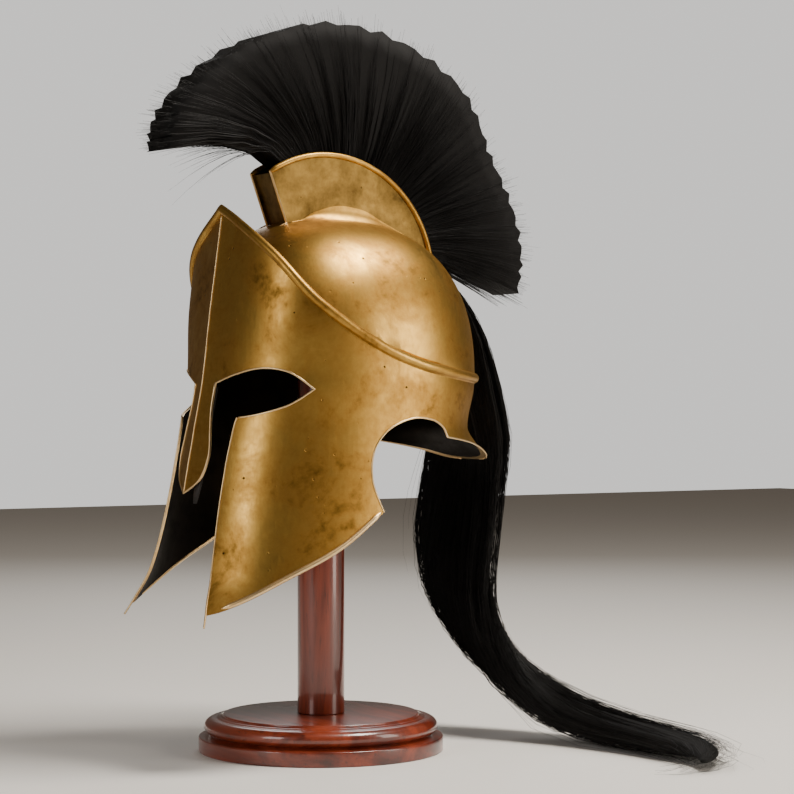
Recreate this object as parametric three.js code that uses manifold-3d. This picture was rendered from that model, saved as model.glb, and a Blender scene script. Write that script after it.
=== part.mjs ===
// A crested Greek helmet of raised brass sheet on a turned wooden display stand.
// Millimetres, +Z up. The helmet faces -Y and its wearer's left is +X.
// The origin is on the table, under the middle of the stand's post.
import * as THREE from 'three';
import { mergeVertices } from 'three/addons/utils/BufferGeometryUtils.js';
import Module from 'manifold-3d';

const wasm = await Module();
wasm.setup();

// ---------------------------------------------------------------- driving sizes
const SHEET = 1.6;                 // thickness of the brass sheet
const FIT = 0.3;                   // gap between two pieces that touch

const COLUMNS = 56;                // columns of the shell's mesh, all the way round
const DOME_ROWS = 6;
const MASK_ROWS = 10;

// The dome is half of a squared ellipsoid that stands on the level of the rib at the nape.
const DOME = { foot: 300, height: 133, side: 105, front: 108, back: 126, square: 2.4, profile: 2.5 };

// The mask's plan at several heights: half width at the ears, reach of the brow and of the nape
// from the middle, and how square the plan is (2 is an ellipse). The nape flares to a brim.
const MASK_PLAN = [
  { z: 108, side: 115, front: 166, back: 150, square: 2.6 },
  { z: 124, side: 112, front: 153, back: 150, square: 2.6 },
  { z: 150, side: 107.5, front: 137, back: 150, square: 2.6 },
  { z: 195, side: 103.5, front: 124, back: 150, square: 2.6 },
  { z: 232, side: 101, front: 117, back: 150, square: 2.5 },
  { z: 240, side: 100.5, front: 115.5, back: 142, square: 2.5 },
  { z: 250, side: 100, front: 113.5, back: 128, square: 2.5 },
  { z: 264, side: 100, front: 111, back: 118.5, square: 2.5 },
  { z: 300, side: 102.5, front: 104, back: 125, square: 2.5 },
  { z: 357, side: 104, front: 97, back: 124, square: 2.9 },
  { z: 400, side: 102, front: 91, back: 122, square: 3 },
  { z: 440, side: 98, front: 85.7, back: 120, square: 3 },
];
const BROW_RIDGE = { reach: 5, spread: 22 };   // the sharp fold down the middle of the face

// The rib's height by the turn from the brow (0 degrees) round to the nape (180), and how far
// below it the dome begins: the rib stands up as a gable over the brow and lies on the dome
// from the temples back.
const RIB_LINE = [
  { turn: 0, z: 438, drop: 26 },
  { turn: 15, z: 426.5, drop: 19 },
  { turn: 29, z: 413, drop: 12 },
  { turn: 41, z: 397, drop: 7 },
  { turn: 60, z: 360, drop: -1 },
  { turn: 78, z: 336.5, drop: -4.5 },
  { turn: 96, z: 321, drop: -5 },
  { turn: 115, z: 311, drop: -5 },
  { turn: 140, z: 304.5, drop: -5 },
  { turn: 180, z: 301, drop: -5 },
];
const RIB = { radius: 3.8, section: [18, 62, 118, 162] };   // half-round, points in degrees
const SKIRT = { low: 108, nape: 226, from: 84, to: 122 };   // where the uncut sheet ends

// Outline of the lower edge seen from the side (y back from the middle, z up).
const CHEEK_EDGE = [
  { y: -139, z: 121 }, { y: -124, z: 127 }, { y: -84, z: 148 }, { y: -40, z: 171 }, { y: -3, z: 198 },
];
const EAR_ARCH = [
  { y: -3, z: 198 }, { y: -12, z: 222 }, { y: -10, z: 245 }, { y: 3, z: 262 }, { y: 25, z: 271 },
  { y: 46, z: 270 }, { y: 59, z: 264 }, { y: 64, z: 256 },
];
const NAPE_EDGE = [
  { y: 64, z: 256 }, { y: 98, z: 251 }, { y: 126, z: 244 }, { y: 146, z: 236 }, { y: 175, z: 226 },
];
const HEM_BEAD_RADIUS = 2.4;

// Almond eye opening, drawn on a plane turned by EYE_TURN from the face (s outwards, z up).
const EYE_TURN = 38;
const EYE_UPPER = [
  { s: -51.5, z: 299 }, { s: -30, z: 306 }, { s: -5, z: 310.5 }, { s: 18, z: 307 }, { s: 36, z: 294 },
];
const EYE_LOWER = [
  { s: 36, z: 294 }, { s: 18, z: 282 }, { s: -5, z: 275 }, { s: -26, z: 272 }, { s: -51.5, z: 272 },
];

// Nasal and cheek guards seen from the front (x from the middle, z up).
const NASAL_EDGE = [
  { x: 16.5, z: 299 }, { x: 16.8, z: 280 }, { x: 21, z: 258 }, { x: 23.5, z: 241 }, { x: 17, z: 223 },
  { x: 0, z: 212 },
];
const CHEEK_FRONT = [
  { x: 49, z: 276 }, { x: 46, z: 266 }, { x: 44, z: 235 }, { x: 45.5, z: 195 }, { x: 51, z: 158 },
  { x: 58, z: 136 }, { x: 70, z: 112 },
];

// Crest box: a channel of two fan-shaped cheeks on the crown, round the crest's own centre.
const CREST = { y: -2, z: 385, radius: 100, halfWidth: 17, bead: 2.5 };
const CREST_FRONT = { topTurn: 123, footY: -38, footZ: 418, setBack: 3 };   // its plate sits set back
const CREST_END_TURN = 8.5;
const CREST_SLACK = 0.2;           // room for the flats of the dome's mesh
const CREST_FOOT = { halfWidth: 20.5, low: 385 };
const CREST_FOOT_LINE = [
  { y: -37.5, z: 424 }, { y: -15, z: 438 }, { y: 8, z: 443.5 }, { y: 28, z: 441 }, { y: 49, z: 431.5 },
];

// Hair fan: root and tip turn (degrees above the back), tip radius, half thickness at the tip.
const FAN_ROWS = [
  { root: 113.5, tip: 148.5, radius: 184, thick: 21, lift: 34 },
  { root: 108, tip: 139, radius: 199, thick: 26, lift: 30 },
  { root: 97, tip: 116, radius: 210, thick: 31, lift: 24 },
  { root: 75, tip: 86, radius: 218, thick: 33, lift: 18 },
  { root: 52, tip: 55, radius: 215, thick: 33, lift: 14 },
  { root: 35, tip: 32, radius: 197, thick: 32, lift: 14 },
  { root: 20, tip: 10, radius: 200, thick: 29, lift: 14 },
  { root: 10, tip: -6, radius: 196, thick: 22, lift: 14 },
];
const FAN = { halfRoot: 14.9, held: 0.24, locks: 22, lockDepth: 2.6, lockTip: 3.5, steps: 66 };
const FAN_RISES = [0, 0.13, 0.25, 0.6, 1];   // places along a lock, root to tip
const FAN_ROOT = [
  { turn: 8, radius: 103 }, { turn: 15, radius: 96 }, { turn: 26, radius: 88 }, { turn: 125, radius: 88 },
];

// Tail of long hair: its middle line, half width, half thickness, and the turn of its width
// about the upright axis (0 lies across the helmet's back, -90 runs from front to back).
const TAIL_ROUTE = [
  { x: 0, y: 112, z: 387, wide: 9, thick: 4, turn: 0 },
  { x: 0, y: 127, z: 368, wide: 20, thick: 7.5, turn: 0 },
  { x: -4, y: 141, z: 338, wide: 31, thick: 11, turn: 0 },
  { x: -12, y: 153, z: 300, wide: 40, thick: 14, turn: 0 },
  { x: -26, y: 167, z: 262, wide: 46, thick: 15, turn: 5 },
  { x: -38, y: 171, z: 230, wide: 50, thick: 16, turn: 10 },
  { x: -41, y: 165, z: 188, wide: 50, thick: 17, turn: 12 },
  { x: -36, y: 158, z: 140, wide: 45, thick: 18, turn: 8 },
  { x: -16, y: 162, z: 94, wide: 38, thick: 18, turn: -6 },
  { x: 17, y: 178, z: 53, wide: 33, thick: 17, turn: -30 },
  { x: 62, y: 197, z: 25, wide: 30, thick: 16, turn: -62 },
  { x: 118, y: 211, z: 14.5, wide: 29, thick: 13, turn: -82 },
  { x: 172, y: 218, z: 12, wide: 28, thick: 10.8, turn: -92 },
  { x: 222, y: 215, z: 10, wide: 25, thick: 9, turn: -105 },
  { x: 256, y: 193, z: 8, wide: 18, thick: 7, turn: -140 },
  { x: 263, y: 160, z: 6, wide: 9, thick: 5, turn: -175 },
  { x: 250, y: 138, z: 4, wide: 3, thick: 2.5, turn: -200 },
];
const TAIL = { steps: 38, sides: 10, locks: 4, lockDepth: 0.12, twist: 2.4 };

const STRAP = { x: 11, halfWidth: 4.5, thick: 2, top: 296, bottom: 204 };

// Stand: turned base, straight post and a plain rounded head that carries the crown.
const POST = { radius: 19.2, foot: 30.3, top: 402 };
const HEAD = { radius: 46, low: 402.3, round: 3 };
const BASE = { plinth: 100, plinthTop: 12.5, torus: 95.5, lip: 84, disc: 80, top: 30 };

// ---------------------------------------------------------------- curves and tables
const radians = (degrees) => (degrees * Math.PI) / 180;

// Smooth value of one column of a table, at a place in its key column. The keys only rise.
function sample(rows, key, column, at) {
  const last = rows.length - 1;
  const place = Math.min(Math.max(at, rows[0][key]), rows[last][key]);
  let i = 0;
  while (i < last - 1 && place > rows[i + 1][key]) i += 1;
  const slope = (a, b) => (rows[b][column] - rows[a][column]) / (rows[b][key] - rows[a][key]);
  const here = slope(i, i + 1);
  const smooth = (a, b) => (a * b <= 0 ? 0 : (2 * a * b) / (a + b));
  const start = i > 0 ? smooth(slope(i - 1, i), here) : here;
  const end = i + 1 < last ? smooth(here, slope(i + 1, i + 2)) : here;
  const span = rows[i + 1][key] - rows[i][key];
  const t = (place - rows[i][key]) / span;
  return rows[i][column] * (1 + 2 * t) * (1 - t) ** 2 + start * span * t * (1 - t) ** 2
    + rows[i + 1][column] * t * t * (3 - 2 * t) + end * span * t * t * (t - 1);
}

// Point at a turn from the brow on a squared oval with its own reach to the front and back.
function ovalPoint(turn, side, front, back, square) {
  const reach = Math.cos(turn) > 0 ? front : back;
  const across = Math.abs(Math.sin(turn)) / side;
  const along = Math.abs(Math.cos(turn)) / reach;
  const radius = (across ** square + along ** square) ** (-1 / square);
  return { x: radius * Math.sin(turn), y: -radius * Math.cos(turn) };
}

function maskPoint(turn, z) {
  const column = (name) => sample(MASK_PLAN, 'z', name, z);
  const p = ovalPoint(turn, column('side'), column('front'), column('back'), column('square'));
  const facing = Math.max(0, Math.cos(turn));
  const fold = BROW_RIDGE.reach * Math.exp(-Math.abs(p.x) / BROW_RIDGE.spread) * Math.min(1, facing * 4);
  return new THREE.Vector3(p.x, p.y - fold, z);
}

// Point of the dome, grown by some millimetres, at a turn and a height.
function domePoint(turn, z, grow) {
  const rise = Math.min(1, Math.max(0, (z - DOME.foot) / (DOME.height + grow)));
  const shrink = (1 - rise ** DOME.profile) ** (1 / DOME.profile);
  const grown = (size) => Math.max(1e-4, (size + grow) * shrink);
  const p = ovalPoint(turn, grown(DOME.side), grown(DOME.front), grown(DOME.back), DOME.square);
  return new THREE.Vector3(p.x, p.y, z);
}

const ribHeight = (turn) => sample(RIB_LINE, 'turn', 'z', (Math.abs(turn) * 180) / Math.PI);
const ribDrop = (turn) => sample(RIB_LINE, 'turn', 'drop', (Math.abs(turn) * 180) / Math.PI);

function skirtHeight(turn) {
  const t = (Math.abs(turn) * 180 / Math.PI - SKIRT.from) / (SKIRT.to - SKIRT.from);
  const eased = Math.min(1, Math.max(0, t));
  return SKIRT.low + (SKIRT.nape - SKIRT.low) * eased * eased * (3 - 2 * eased);
}

// ---------------------------------------------------------------- meshes and solids
function geometryOf(points, faces) {
  const geometry = new THREE.BufferGeometry();
  geometry.setAttribute('position', new THREE.Float32BufferAttribute(points.flatMap((p) => [p.x, p.y, p.z]), 3));
  geometry.setIndex(faces.flat());
  return geometry;
}

function solidOf(geometry) {
  const bare = geometry.clone();
  bare.deleteAttribute('normal');
  bare.deleteAttribute('uv');
  const merged = mergeVertices(bare, 1e-4);
  return new wasm.Manifold(new wasm.Mesh({
    numProp: 3,
    vertProperties: new Float32Array(merged.attributes.position.array),
    triVerts: new Uint32Array(merged.index.array),
  }));
}

function geometryFrom(solid) {
  const mesh = solid.getMesh();
  const geometry = new THREE.BufferGeometry();
  geometry.setAttribute('position', new THREE.Float32BufferAttribute(mesh.vertProperties, 3));
  geometry.setIndex(Array.from(mesh.triVerts));
  return geometry;
}

// Closed skin through rings of points, each ring the same count, with a flat cap on each end.
function skinRings(rings) {
  const count = rings[0].length;
  const points = rings.flat();
  const faces = [];
  for (let i = 0; i + 1 < rings.length; i += 1) {
    for (let j = 0; j < count; j += 1) {
      const a = i * count + j;
      const b = i * count + ((j + 1) % count);
      faces.push([a, b, b + count], [a, b + count, a + count]);
    }
  }
  const capAt = (ring, start, turned) => {
    const middle = ring.reduce((sum, p) => sum.add(p), new THREE.Vector3()).divideScalar(count);
    const centre = points.push(middle) - 1;
    for (let j = 0; j < count; j += 1) {
      const pair = [start + j, start + ((j + 1) % count)];
      faces.push(turned ? [centre, pair[1], pair[0]] : [centre, pair[0], pair[1]]);
    }
  };
  capAt(rings[0], 0, true);
  capAt(rings[rings.length - 1], (rings.length - 1) * count, false);
  return geometryOf(points, faces);
}

// Round bead along a row of points; outward(i) points away from the surface that it lies on.
function beadAlong(path, outward, radius, sides) {
  return skinRings(path.map((point, i) => {
    const along = path[Math.min(path.length - 1, i + 1)].clone().sub(path[Math.max(0, i - 1)]).normalize();
    const out = outward(i).clone();
    out.addScaledVector(along, -out.dot(along)).normalize();
    const over = along.clone().cross(out);
    return Array.from({ length: sides }, (_, k) => {
      const turn = (k / sides) * 2 * Math.PI;
      return point.clone().addScaledVector(out, radius * Math.cos(turn))
        .addScaledVector(over, radius * Math.sin(turn));
    });
  }));
}

// Outline through tables of points: a smooth curve through each table, then straight corners.
function outline(curves, corners, across, up) {
  const shape = new THREE.Shape();
  shape.moveTo(curves[0][0][across], curves[0][0][up]);
  curves.forEach((rows) => {
    shape.splineThru(rows.slice(1).map((row) => new THREE.Vector2(row[across], row[up])));
  });
  corners.forEach(([a, b]) => shape.lineTo(a, b));
  shape.closePath();
  return shape;
}

// Straight cutter: an outline drawn on an upright plane, pushed along the plane's normal.
function prism(shape, right, from, to, curveSegments = 24) {
  const geometry = new THREE.ExtrudeGeometry(shape, { depth: to - from, bevelEnabled: false, curveSegments });
  const up = new THREE.Vector3(0, 0, 1);
  const normal = right.clone().cross(up);
  geometry.translate(0, 0, from);
  geometry.applyMatrix4(new THREE.Matrix4().makeBasis(right, up, normal));
  return solidOf(geometry);
}

// ---------------------------------------------------------------- helmet shell
// Columns of points from the crown to the skirt; each column starts just off the shared apex.
function shellColumn(turn) {
  const points = [];
  const high = ribHeight(turn);
  const endRise = Math.max(0, (high - ribDrop(turn) - DOME.foot) / DOME.height);
  const endAngle = Math.asin(endRise ** (DOME.profile / 2));
  for (let i = 1; i <= DOME_ROWS; i += 1) {
    const angle = Math.PI / 2 + (endAngle - Math.PI / 2) * (i / DOME_ROWS);
    points.push(domePoint(turn, DOME.foot + DOME.height * Math.sin(angle) ** (2 / DOME.profile), 0));
  }
  const ribPoint = (at) => maskPoint(at, ribHeight(at));
  const rib = ribPoint(turn);
  const along = ribPoint(turn + 0.02).sub(ribPoint(turn - 0.02)).normalize();
  const out = new THREE.Vector3(rib.x, rib.y, 0);
  out.addScaledVector(along, -out.dot(along)).normalize();
  const up = out.clone().cross(along);
  RIB.section.forEach((degrees) => {
    points.push(rib.clone().addScaledVector(up, RIB.radius * Math.cos(radians(degrees)))
      .addScaledVector(out, RIB.radius * Math.sin(radians(degrees))));
  });
  const low = skirtHeight(turn);
  const start = high - RIB.radius * 1.7;
  for (let i = 0; i <= MASK_ROWS; i += 1) points.push(maskPoint(turn, start + (low - start) * (i / MASK_ROWS)));
  return points;
}

function shellBlank() {
  const turns = Array.from({ length: COLUMNS }, (_, j) => (j / COLUMNS) * 2 * Math.PI - Math.PI);
  const columns = turns.map(shellColumn);
  const rows = columns[0].length;
  const outer = [new THREE.Vector3(0, 0, DOME.foot + DOME.height)];
  columns.forEach((column) => outer.push(...column));
  const at = (j, i) => 1 + (j % COLUMNS) * rows + i;
  const faces = [];
  for (let j = 0; j < COLUMNS; j += 1) {
    faces.push([0, at(j, 0), at(j + 1, 0)]);
    for (let i = 0; i + 1 < rows; i += 1) {
      faces.push([at(j, i), at(j, i + 1), at(j + 1, i + 1)], [at(j, i), at(j + 1, i + 1), at(j + 1, i)]);
    }
  }
  const skin = geometryOf(outer, faces);
  skin.computeVertexNormals();
  const normals = skin.attributes.normal;
  const inner = outer.map((p, i) => p.clone().addScaledVector(
    new THREE.Vector3(normals.getX(i), normals.getY(i), normals.getZ(i)), -SHEET));
  const shift = outer.length;
  const walls = faces.concat(faces.map(([a, b, c]) => [a + shift, c + shift, b + shift]));
  for (let j = 0; j < COLUMNS; j += 1) {
    const a = at(j, rows - 1);
    const b = at(j + 1, rows - 1);
    walls.push([a, a + shift, b + shift], [a, b + shift, b]);
  }
  return solidOf(geometryOf(outer.concat(inner), walls));
}

// Turn at which the mask, at some height, reaches a distance back from the middle.
function turnAt(y, z) {
  let low = 0;
  let high = Math.PI;
  for (let i = 0; i < 40; i += 1) {
    const middle = (low + high) / 2;
    if (maskPoint(middle, z).y < y) low = middle;
    else high = middle;
  }
  return (low + high) / 2;
}

function hemBead(side) {
  const first = CHEEK_EDGE[1];
  const last = CHEEK_EDGE[CHEEK_EDGE.length - 1];
  const path = Array.from({ length: 15 }, (_, i) => {
    const y = first.y + 3 + (last.y - first.y - 6) * (i / 14);
    const z = sample(CHEEK_EDGE, 'y', 'z', y) + HEM_BEAD_RADIUS + 0.4;
    return maskPoint(turnAt(y, z) * side, z);
  });
  const bead = beadAlong(path, (i) => new THREE.Vector3(path[i].x, path[i].y, 0), HEM_BEAD_RADIUS, 6);
  return solidOf(bead);
}

function helmetShell() {
  const hem = prism(outline([CHEEK_EDGE, EAR_ARCH, NAPE_EDGE], [[200, 226], [200, 60], [-190, 60], [-190, 119]],
    'y', 'z'), new THREE.Vector3(0, 1, 0), -200, 200, 4);
  const gapRight = [...NASAL_EDGE].reverse();
  const gapLeft = NASAL_EDGE.slice(0, -1).map(({ x, z }) => ({ x: -x, z }));
  const cheekLeft = CHEEK_FRONT.map(({ x, z }) => ({ x: -x, z }));
  const gapShape = new THREE.Shape();
  const through = (rows) => gapShape.splineThru(rows.map(({ x, z }) => new THREE.Vector2(x, z)));
  gapShape.moveTo(0, NASAL_EDGE[NASAL_EDGE.length - 1].z);
  through([...gapLeft].reverse());
  gapShape.lineTo(cheekLeft[0].x, cheekLeft[0].z);
  through(cheekLeft.slice(1));
  gapShape.lineTo(CHEEK_FRONT[CHEEK_FRONT.length - 1].x, CHEEK_FRONT[CHEEK_FRONT.length - 1].z);
  through([...CHEEK_FRONT].reverse().slice(1));
  gapShape.lineTo(NASAL_EDGE[0].x, NASAL_EDGE[0].z);
  through([...gapRight].reverse().slice(1));
  const gap = prism(gapShape, new THREE.Vector3(1, 0, 0), 60, 220, 4);
  const eye = outline([EYE_UPPER, EYE_LOWER], [], 's', 'z');
  const turn = radians(EYE_TURN);
  const leftEye = prism(eye, new THREE.Vector3(Math.cos(turn), Math.sin(turn), 0), 40, 180, 4);
  const mirrored = (rows) => [...rows].reverse().map(({ s, z }) => ({ s: -s, z }));
  const otherEye = outline([mirrored(EYE_LOWER), mirrored(EYE_UPPER)], [], 's', 'z');
  const rightEye = prism(otherEye, new THREE.Vector3(Math.cos(turn), -Math.sin(turn), 0), 40, 180, 4);
  return shellBlank().subtract(hem).subtract(gap).subtract(leftEye).subtract(rightEye)
    .add(hemBead(1)).add(hemBead(-1));
}

// ---------------------------------------------------------------- crest box
const crestPoint = (turn, radius) => ({
  y: CREST.y + radius * Math.cos(radians(turn)),
  z: CREST.z + radius * Math.sin(radians(turn)),
});

// Closed body of the dome, grown a little, that the crest box is cut to sit on.
function domeBody(grow) {
  const rings = [];
  for (let i = 0; i <= 16; i += 1) {
    const angle = (i / 16) * radians(89.6);
    const z = DOME.foot + (DOME.height + grow) * Math.sin(angle) ** (2 / DOME.profile);
    rings.push(Array.from({ length: COLUMNS }, (_, j) => domePoint((j / COLUMNS) * 2 * Math.PI, z, grow)));
  }
  return solidOf(skinRings(rings));
}

function crestSide(radius, frontInset) {
  const shape = new THREE.Shape();
  const foot = { y: CREST_FRONT.footY + frontInset, z: CREST_FRONT.footZ };
  const end = crestPoint(CREST_END_TURN, radius);
  shape.moveTo(foot.y, foot.z);
  shape.lineTo(foot.y, 380);
  shape.lineTo(end.y, 380);
  shape.lineTo(end.y, end.z);
  shape.absarc(CREST.y, CREST.z, radius, radians(CREST_END_TURN), radians(CREST_FRONT.topTurn) - frontInset / radius,
    false);
  return shape;
}

function crestBox() {
  const back = new THREE.Vector3(0, 1, 0);
  const { halfWidth, radius } = CREST;
  const block = prism(crestSide(radius, 0), back, -halfWidth, halfWidth, 22);
  const channel = prism(crestSide(radius + 12, CREST_FRONT.setBack + SHEET), back, SHEET - halfWidth, halfWidth - SHEET,
    22);
  const footEnd = crestPoint(CREST_END_TURN, radius);
  const foot = outline([CREST_FOOT_LINE], [[78, 417], [footEnd.y - 3, footEnd.z + 1], [footEnd.y - 6, CREST_FOOT.low],
    [CREST_FOOT_LINE[0].y, CREST_FOOT.low]], 'y', 'z');
  const flange = prism(foot, back, -CREST_FOOT.halfWidth, CREST_FOOT.halfWidth, 12);
  let box = block.add(flange);
  for (const side of [-1, 1]) {
    const path = Array.from({ length: 23 }, (_, i) => {
      const turn = CREST_END_TURN + 1 + (CREST_FRONT.topTurn - CREST_END_TURN - 1) * (i / 22);
      const p = crestPoint(turn, radius - 0.6);
      return new THREE.Vector3(side * (halfWidth - SHEET / 2), p.y, p.z);
    });
    box = box.add(solidOf(beadAlong(path, () => new THREE.Vector3(side, 0, 0), CREST.bead, 6)));
  }
  return box.subtract(channel).subtract(domeBody(FIT + CREST_SLACK));
}

// ---------------------------------------------------------------- hair
// The fan is a pad of stiff locks that stands in the channel and spreads to its tips.
function fanPoint(share, rise, side) {
  const index = share * (FAN_ROWS.length - 1);
  const rows = FAN_ROWS.map((row, i) => ({ ...row, i }));
  const value = (column) => sample(rows, 'i', column, index);
  const lock = Math.cos(share * FAN.locks * 2 * Math.PI);
  const rootTurn = value('root');
  const root = crestPoint(rootTurn, sample(FAN_ROOT, 'turn', 'radius', rootTurn));
  const tip = crestPoint(value('tip'), value('radius') + FAN.lockTip * lock * rise);
  const spread = Math.max(0, (rise - FAN.held) / (1 - FAN.held)) ** 1.1;
  const free = Math.min(1, spread * 4);
  const half = FAN.halfRoot + (value('thick') - FAN.halfRoot) * spread + FAN.lockDepth * lock * free;
  const round = rise > 0.8 ? Math.sqrt(Math.max(0, 1 - ((rise - 0.8) / 0.2) ** 2 * 0.8)) : 1;
  // Each lock leaves its root straight out of the channel and bends towards its tip.
  const bend = { y: root.y, z: root.z };
  const out = crestPoint(rootTurn, CREST.radius + value('lift'));
  const blend = (axis) => (1 - rise) ** 2 * bend[axis] + 2 * rise * (1 - rise) * out[axis] + rise ** 2 * tip[axis];
  return new THREE.Vector3(side * half * round, blend('y'), blend('z'));
}

function crestHair() {
  const rings = [];
  for (let i = 0; i <= FAN.steps; i += 1) {
    const share = i / FAN.steps;
    const ring = [];
    FAN_RISES.forEach((rise) => ring.push(fanPoint(share, rise, -1)));
    [...FAN_RISES].reverse().forEach((rise) => ring.push(fanPoint(share, rise, 1)));
    rings.push(ring);
  }
  return skinRings(rings);
}

// The tail hangs from the crest's back end, falls behind the nape and runs out along the table.
function tailHair() {
  const rows = TAIL_ROUTE.map((row, i) => ({ ...row, i }));
  const last = rows.length - 1;
  const middle = new THREE.CatmullRomCurve3(rows.map(({ x, y, z }) => new THREE.Vector3(x, y, z)));
  const rings = [];
  for (let i = 0; i <= TAIL.steps; i += 1) {
    const share = i / TAIL.steps;
    const value = (column) => sample(rows, 'i', column, share * last);
    const centre = middle.getPoint(share);
    const along = middle.getTangent(share);
    const turn = radians(value('turn'));
    const wide = new THREE.Vector3(Math.cos(turn), Math.sin(turn), 0);
    wide.addScaledVector(along, -wide.dot(along)).normalize();
    const thick = along.clone().cross(wide);
    rings.push(Array.from({ length: TAIL.sides }, (_, k) => {
      const angle = (k / TAIL.sides) * 2 * Math.PI;
      const lock = 1 + TAIL.lockDepth * Math.cos(TAIL.locks * angle + TAIL.twist * share * 2 * Math.PI);
      return centre.clone().addScaledVector(wide, value('wide') * lock * Math.cos(angle))
        .addScaledVector(thick, value('thick') * lock * Math.sin(angle));
    }));
  }
  rings.flat().forEach((p) => { p.z = Math.max(p.z, 0.4); });
  return skinRings(rings);
}

// ---------------------------------------------------------------- strap and stand
// Leather strip behind the nasal; only its end shows under the point.
function linerStrap() {
  const rings = [];
  for (let i = 0; i <= 12; i += 1) {
    const z = STRAP.top + (STRAP.bottom - STRAP.top) * (i / 12);
    const corner = (x, depth) => {
      const wall = maskPoint(Math.atan2(x, 112), z);
      return new THREE.Vector3(x, wall.y + SHEET + 0.9 + depth, z);
    };
    const narrow = i === 12 ? 0.55 : 1;
    const left = STRAP.x - STRAP.halfWidth * narrow;
    const right = STRAP.x + STRAP.halfWidth * narrow;
    rings.push([corner(right, STRAP.thick), corner(right, 0), corner(left, 0), corner(left, STRAP.thick)]);
  }
  return skinRings(rings);
}

function lathe(profile, segments) {
  const geometry = new THREE.LatheGeometry(profile.map(([r, z]) => new THREE.Vector2(r, z)), segments);
  geometry.rotateX(Math.PI / 2);
  return geometry;
}

function standBase() {
  const profile = [[0, 0], [BASE.plinth - 1, 0], [BASE.plinth, 1], [BASE.plinth, BASE.plinthTop - 0.6]];
  profile.push([BASE.plinth - 1, BASE.plinthTop], [BASE.torus - 3, BASE.plinthTop + 0.4]);
  for (let i = 0; i <= 4; i += 1) {
    const angle = radians(-62 + 152 * (i / 4));
    profile.push([BASE.torus - 8 + 8 * Math.cos(angle), 20.2 + 6.6 * Math.sin(angle)]);
  }
  profile.push([BASE.lip, 26.8], [BASE.lip - 0.6, 27.6], [BASE.disc + 1, 27.8], [BASE.disc, 29], [BASE.disc - 1, BASE.top]);
  profile.push([0, BASE.top]);
  return lathe(profile, 32);
}

function standPost() {
  return lathe([[0, POST.foot], [POST.radius, POST.foot], [POST.radius, POST.top], [0, POST.top]], 32);
}

// The head's top is the dome's own inner form, a little smaller.
function standHead() {
  const rings = [];
  const circle = (radius, z) => Array.from({ length: 22 }, (_, j) => {
    const turn = (j / 22) * 2 * Math.PI;
    return new THREE.Vector3(radius * Math.sin(turn), -radius * Math.cos(turn), z);
  });
  rings.push(circle(HEAD.radius - HEAD.round, HEAD.low), circle(HEAD.radius, HEAD.low + HEAD.round));
  const inner = SHEET + FIT + 0.4;
  for (const radius of [HEAD.radius, HEAD.radius - 6, HEAD.radius - 16, HEAD.radius - 28, 6]) {
    const share = radius / (DOME.side - inner);
    const z = DOME.foot + (DOME.height - inner) * (1 - share ** DOME.profile) ** (1 / DOME.profile);
    rings.push(circle(radius - 0.5, z - 0.6));
  }
  return skinRings(rings);
}

// ---------------------------------------------------------------- assembly
const FINISH = {
  brass: { color: 0x9c7a3c, roughness: 0.34, metalness: 1 },
  hair: { color: 0x0d0b0a, roughness: 0.6, metalness: 0 },
  leather: { color: 0x17120f, roughness: 0.7, metalness: 0 },
  wood: { color: 0x6b2c1b, roughness: 0.28, metalness: 0 },
};

const group = new THREE.Group();
function addPiece(name, geometry, finish) {
  const mesh = new THREE.Mesh(geometry, new THREE.MeshStandardMaterial(FINISH[finish]));
  mesh.name = name;
  group.add(mesh);
}

addPiece('helmet_shell', geometryFrom(helmetShell()), 'brass');
addPiece('crest_box', geometryFrom(crestBox()), 'brass');
addPiece('crest_hair', crestHair(), 'hair');
addPiece('tail_hair', tailHair(), 'hair');
addPiece('liner_strap', linerStrap(), 'leather');
addPiece('stand_base', standBase(), 'wood');
addPiece('stand_post', standPost(), 'wood');
addPiece('stand_head', standHead(), 'wood');

export default group;
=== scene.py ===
import math

import bmesh
import bpy
import numpy as np
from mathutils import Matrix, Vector


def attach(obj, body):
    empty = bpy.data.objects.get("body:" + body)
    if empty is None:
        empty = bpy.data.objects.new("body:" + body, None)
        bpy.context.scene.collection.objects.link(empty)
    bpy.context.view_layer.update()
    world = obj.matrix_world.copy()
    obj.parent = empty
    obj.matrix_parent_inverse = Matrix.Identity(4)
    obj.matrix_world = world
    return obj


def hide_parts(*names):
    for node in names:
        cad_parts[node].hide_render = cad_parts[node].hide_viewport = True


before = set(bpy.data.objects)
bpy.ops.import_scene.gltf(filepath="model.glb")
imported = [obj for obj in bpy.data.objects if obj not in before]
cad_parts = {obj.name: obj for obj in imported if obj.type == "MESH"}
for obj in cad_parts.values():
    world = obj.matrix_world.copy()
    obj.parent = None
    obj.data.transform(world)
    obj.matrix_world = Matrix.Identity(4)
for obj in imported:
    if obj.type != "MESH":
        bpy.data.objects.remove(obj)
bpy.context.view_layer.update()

# ------------------------------------------------------------------ camera, light and floor
# A small product table: a long lens level with the cheek guards, a soft light overhead, a tall one
# on the wearer's left, one in front of the face and a weak one behind. Metres, in the model's own
# frame: the helmet faces -Y and +X is the wearer's left.
MM = 0.001


def linear(hex_colour, alpha=1.0):
    """Linear colour of an sRGB hex value."""
    channels = [int(hex_colour[i:i + 2], 16) / 255 for i in (1, 3, 5)]
    return tuple(c / 12.92 if c <= 0.04045 else ((c + 0.055) / 1.055) ** 2.4
                 for c in channels) + (alpha,)


def node(tree, kind, links=None, **settings):
    """Add a node; settings name its properties or inputs, links feed its inputs."""
    made = tree.nodes.new(kind)
    for name, value in settings.items():
        if hasattr(made, name):
            setattr(made, name, value)
        else:
            made.inputs[name.replace("_", " ")].default_value = value
    for name, source in (links or {}).items():
        tree.links.new(source, made.inputs[name])
    return made


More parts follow.
